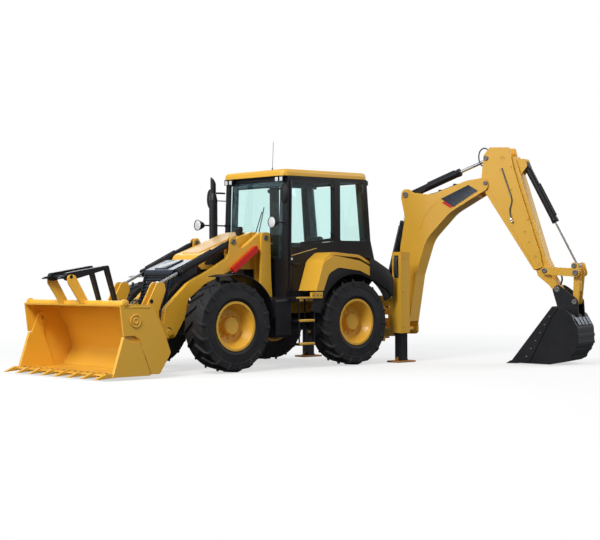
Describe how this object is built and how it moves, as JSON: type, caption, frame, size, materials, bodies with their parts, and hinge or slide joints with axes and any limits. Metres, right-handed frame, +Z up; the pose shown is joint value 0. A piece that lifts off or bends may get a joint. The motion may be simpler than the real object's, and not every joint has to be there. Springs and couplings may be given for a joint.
{
  "type": "backhoe loader",
  "caption": "Four-wheel-steer backhoe loader with a clam loader bucket and flip-over forks, and a side-shift extending-stick backhoe swung to the left.",
  "frame": {"origin": "on the ground, on the machine's middle plane, straight under the rear axle", "axes": "+X forward to the loader bucket, +Y to the machine's left, +Z up"},
  "size_m": [7.5348, 4.7449, 3.2955],
  "materials": {
    "black_paint": "satin",
    "black_plastic": "matte",
    "chrome": "polished",
    "glass": "clear",
    "grey_iron": "rough",
    "lamp_glass": "clear",
    "red_paint": "gloss",
    "tyre_rubber": "matte",
    "yellow_paint": "gloss"
  },
  "bodies": {
    "chassis": {"main_frame": "yellow_paint", "engine_block": "grey_iron", "hood": "yellow_paint", "nose": "black_paint", "grille": "black_paint", "cab_frame": "black_paint", "cab_roof": "yellow_paint", "cab_glass": "glass", "operator_station": "black_plastic", "rear_fenders": "yellow_paint", "side_boxes": "black_paint", "exhaust_stack": "black_paint", "work_lamps": "lamp_glass", "mirrors": "black_paint", "axles": "black_paint", "rear_frame": "yellow_paint"},
    "door_left": {"door_left": "black_paint", "door_glass_left": "glass"},
    "door_right": {"door_right": "black_paint", "door_glass_right": "glass"},
    "steering_front_left": {"knuckle_front_left": "black_paint"},
    "wheel_front_left": {"tyre_front_left": "tyre_rubber", "rim_front_left": "yellow_paint"},
    "steering_front_right": {"knuckle_front_right": "black_paint"},
    "wheel_front_right": {"tyre_front_right": "tyre_rubber", "rim_front_right": "yellow_paint"},
    "steering_rear_left": {"knuckle_rear_left": "black_paint"},
    "wheel_rear_left": {"tyre_rear_left": "tyre_rubber", "rim_rear_left": "yellow_paint"},
    "steering_rear_right": {"knuckle_rear_right": "black_paint"},
    "wheel_rear_right": {"tyre_rear_right": "tyre_rubber", "rim_rear_right": "yellow_paint"},
    "loader_arms": {"loader_arm_left": "yellow_paint", "loader_arm_right": "yellow_paint", "loader_crossbar": "yellow_paint", "arm_brace": "red_paint"},
    "lift_barrels": {"lift_barrels": "black_paint"},
    "lift_rods": {"lift_rods": "chrome"},
    "tilt_barrels": {"tilt_barrels": "black_paint"},
    "tilt_rods": {"tilt_rods": "chrome"},
    "loader_bucket": {"loader_bucket": "yellow_paint"},
    "bucket_clam": {"bucket_clam": "yellow_paint"},
    "pallet_forks": {"pallet_forks": "black_paint"},
    "carriage": {"carriage": "yellow_paint"},
    "swing_post": {"swing_post": "yellow_paint"},
    "boom": {"boom": "yellow_paint"},
    "boom_barrel": {"boom_barrel": "black_paint"},
    "boom_rod": {"boom_rod": "chrome"},
    "stick": {"stick": "yellow_paint"},
    "stick_barrel": {"stick_barrel": "black_paint"},
    "stick_rod": {"stick_rod": "chrome"},
    "stick_slider": {"stick_slider": "yellow_paint"},
    "curl_barrel": {"curl_barrel": "black_paint"},
    "curl_rod": {"curl_rod": "chrome"},
    "lever": {"lever": "yellow_paint"},
    "link": {"link": "yellow_paint"},
    "dig_bucket": {"dig_bucket": "black_paint"},
    "stabiliser_left": {"stabiliser_leg_left": "black_paint"},
    "stabiliser_right": {"stabiliser_leg_right": "black_paint"}
  },
  "joints": [
    {"name": "steer_front_left", "type": "hinge", "parent": "chassis", "child": "steering_front_left", "pos_m": [2.32, 0.62, 0.645], "axis": [0, 0, 1], "range_deg": [-20, 20]},
    {"name": "spin_front_left", "type": "hinge", "parent": "steering_front_left", "child": "wheel_front_left", "pos_m": [2.32, 0.945, 0.645], "axis": [0, 1, 0], "continuous": true},
    {"name": "steer_front_right", "type": "hinge", "parent": "chassis", "child": "steering_front_right", "pos_m": [2.32, -0.62, 0.645], "axis": [0, 0, 1], "range_deg": [-20, 20]},
    {"name": "spin_front_right", "type": "hinge", "parent": "steering_front_right", "child": "wheel_front_right", "pos_m": [2.32, -0.945, 0.645], "axis": [0, 1, 0], "continuous": true},
    {"name": "steer_rear_left", "type": "hinge", "parent": "chassis", "child": "steering_rear_left", "pos_m": [0, 0.62, 0.645], "axis": [0, 0, 1], "range_deg": [-20, 20]},
    {"name": "spin_rear_left", "type": "hinge", "parent": "steering_rear_left", "child": "wheel_rear_left", "pos_m": [0, 0.945, 0.645], "axis": [0, 1, 0], "continuous": true},
    {"name": "steer_rear_right", "type": "hinge", "parent": "chassis", "child": "steering_rear_right", "pos_m": [0, -0.62, 0.645], "axis": [0, 0, 1], "range_deg": [-20, 20]},
    {"name": "spin_rear_right", "type": "hinge", "parent": "steering_rear_right", "child": "wheel_rear_right", "pos_m": [0, -0.945, 0.645], "axis": [0, 1, 0], "continuous": true},
    {"name": "door_swing_left", "type": "hinge", "parent": "chassis", "child": "door_left", "pos_m": [0.062, 0.729, 1.9], "axis": [0, 0, 1], "range_deg": [0, 90]},
    {"name": "door_swing_right", "type": "hinge", "parent": "chassis", "child": "door_right", "pos_m": [0.062, -0.729, 1.9], "axis": [0, 0, -1], "range_deg": [0, 90]},
    {"name": "loader_lift", "type": "hinge", "parent": "chassis", "child": "loader_arms", "pos_m": [1.25, 0, 1.9], "axis": [0, -1, 0], "range_deg": [-4, 83]},
    {"name": "bucket_tilt", "type": "hinge", "parent": "loader_arms", "child": "loader_bucket", "pos_m": [2.994, 0, 0.566], "axis": [0, 1, 0], "range_deg": [-28, 50]},
    {"name": "clam_open", "type": "hinge", "parent": "loader_bucket", "child": "bucket_clam", "pos_m": [4.046, 0, 0.764], "axis": [0, -1, 0], "range_deg": [0, 55]},
    {"name": "fork_flip", "type": "hinge", "parent": "loader_bucket", "child": "pallet_forks", "pos_m": [4.43, 0, 1.34], "axis": [0, -1, 0], "range_deg": [-250, 0]},
    {"name": "lift_ram_turn", "type": "hinge", "parent": "chassis", "child": "lift_barrels", "pos_m": [1.23, 0, 0.52], "axis": [0, -1, 0], "range_deg": [-4, 21]},
    {"name": "lift_ram_stroke", "type": "slide", "parent": "lift_barrels", "child": "lift_rods", "axis": [0.5644, 0, 0.8255], "range_m": [-0.062, 0.882]},
    {"name": "tilt_ram_turn", "type": "hinge", "parent": "loader_arms", "child": "tilt_barrels", "pos_m": [1.829, 0, 1.835], "axis": [0, -1, 0], "range_deg": [-3, 4]},
    {"name": "tilt_ram_stroke", "type": "slide", "parent": "tilt_barrels", "child": "tilt_rods", "axis": [0.9073, 0, -0.4206], "range_m": [-0.324, 0.564]},
    {"name": "side_shift", "type": "slide", "parent": "chassis", "child": "carriage", "axis": [0, 1, 0], "range_m": [-0.76, 0.36]},
    {"name": "boom_swing", "type": "hinge", "parent": "carriage", "child": "swing_post", "pos_m": [-1.48, 0.2, 0.5], "axis": [0, 0, 1], "range_deg": [-18, 162]},
    {"name": "boom_lift", "type": "hinge", "parent": "swing_post", "child": "boom", "pos_m": [-1.62524, 0.647, 0.49], "axis": [0.9511, 0.309, 0], "range_deg": [-97, 28]},
    {"name": "boom_ram_turn", "type": "hinge", "parent": "swing_post", "child": "boom_barrel", "pos_m": [-1.48618, 0.21902, 0.77], "axis": [0.9511, 0.309, 0], "range_deg": [-95, 30]},
    {"name": "boom_ram_stroke", "type": "slide", "parent": "boom_barrel", "child": "boom_rod", "axis": [-0.0786, 0.242, 0.9671], "range_m": [-0.227, 0.738]},
    {"name": "stick_turn", "type": "hinge", "parent": "boom", "child": "stick", "pos_m": [-2.05663, 1.97467, 2.743], "axis": [-0.9511, -0.309, 0], "range_deg": [-60, 34]},
    {"name": "stick_ram_turn", "type": "hinge", "parent": "boom", "child": "stick_barrel", "pos_m": [-1.63605, 0.68028, 2.613], "axis": [0.9511, 0.309, 0], "range_deg": [-4, 5]},
    {"name": "stick_ram_stroke", "type": "slide", "parent": "stick_barrel", "child": "stick_rod", "axis": [-0.2888, 0.8888, 0.3558], "range_m": [-0.381, 0.225]},
    {"name": "stick_extend", "type": "slide", "parent": "stick", "child": "stick_slider", "axis": [0.0929, -0.286, 0.9537], "range_m": [-1.05, 0]},
    {"name": "bucket_curl", "type": "hinge", "parent": "stick_slider", "child": "dig_bucket", "pos_m": [-2.40641, 3.0512, 1.11503], "axis": [-0.9511, -0.309, 0], "range_deg": [-92, 92]},
    {"name": "lever_turn", "type": "hinge", "parent": "stick_slider", "child": "lever", "pos_m": [-2.34978, 2.87691, 1.39697], "axis": [0.9511, 0.309, 0], "range_deg": [-65, 65]},
    {"name": "link_turn", "type": "hinge", "parent": "lever", "child": "link", "pos_m": [-2.49876, 3.33541, 1.36443], "axis": [0.9511, 0.309, 0], "range_deg": [-19, 19]},
    {"name": "curl_ram_turn", "type": "hinge", "parent": "stick_slider", "child": "curl_barrel", "pos_m": [-2.23992, 2.53879, 3.02334], "axis": [0.9511, 0.309, 0], "range_deg": [-8, 8]},
    {"name": "curl_ram_stroke", "type": "slide", "parent": "curl_barrel", "child": "curl_rod", "axis": [-0.1442, 0.4439, -0.8844], "range_m": [-0.428, 0.428]},
    {"name": "stabiliser_left", "type": "slide", "parent": "chassis", "child": "stabiliser_left", "axis": [0, 0, 1], "range_m": [-0.15, 0.35]},
    {"name": "stabiliser_right", "type": "slide", "parent": "chassis", "child": "stabiliser_right", "axis": [0, 0, 1], "range_m": [-0.15, 0.35]}
  ],
  "couplings": [
    {"joint": "steer_front_right", "follows": "steer_front_left", "ratio": 1},
    {"joint": "steer_rear_right", "follows": "steer_rear_left", "ratio": 1},
    {"joint": "lift_ram_turn", "follows": "loader_lift", "ratio": 0.21365},
    {"joint": "lift_ram_stroke", "follows": "loader_lift", "m_per_rad": 0.59527},
    {"joint": "tilt_ram_turn", "follows": "bucket_tilt", "ratio": 0.0135},
    {"joint": "tilt_ram_stroke", "follows": "bucket_tilt", "m_per_rad": 0.62285},
    {"joint": "boom_ram_turn", "follows": "boom_lift", "ratio": 0.94648},
    {"joint": "boom_ram_stroke", "follows": "boom_lift", "m_per_rad": -0.42401},
    {"joint": "stick_ram_turn", "follows": "stick_turn", "ratio": -0.0345},
    {"joint": "stick_ram_stroke", "follows": "stick_turn", "m_per_rad": 0.34462},
    {"joint": "lever_turn", "follows": "bucket_curl", "ratio": -0.675},
    {"joint": "link_turn", "follows": "bucket_curl", "ratio": 0.175},
    {"joint": "curl_ram_turn", "follows": "bucket_curl", "ratio": -0.0495},
    {"joint": "curl_ram_stroke", "follows": "bucket_curl", "m_per_rad": 0.25387}
  ]
}
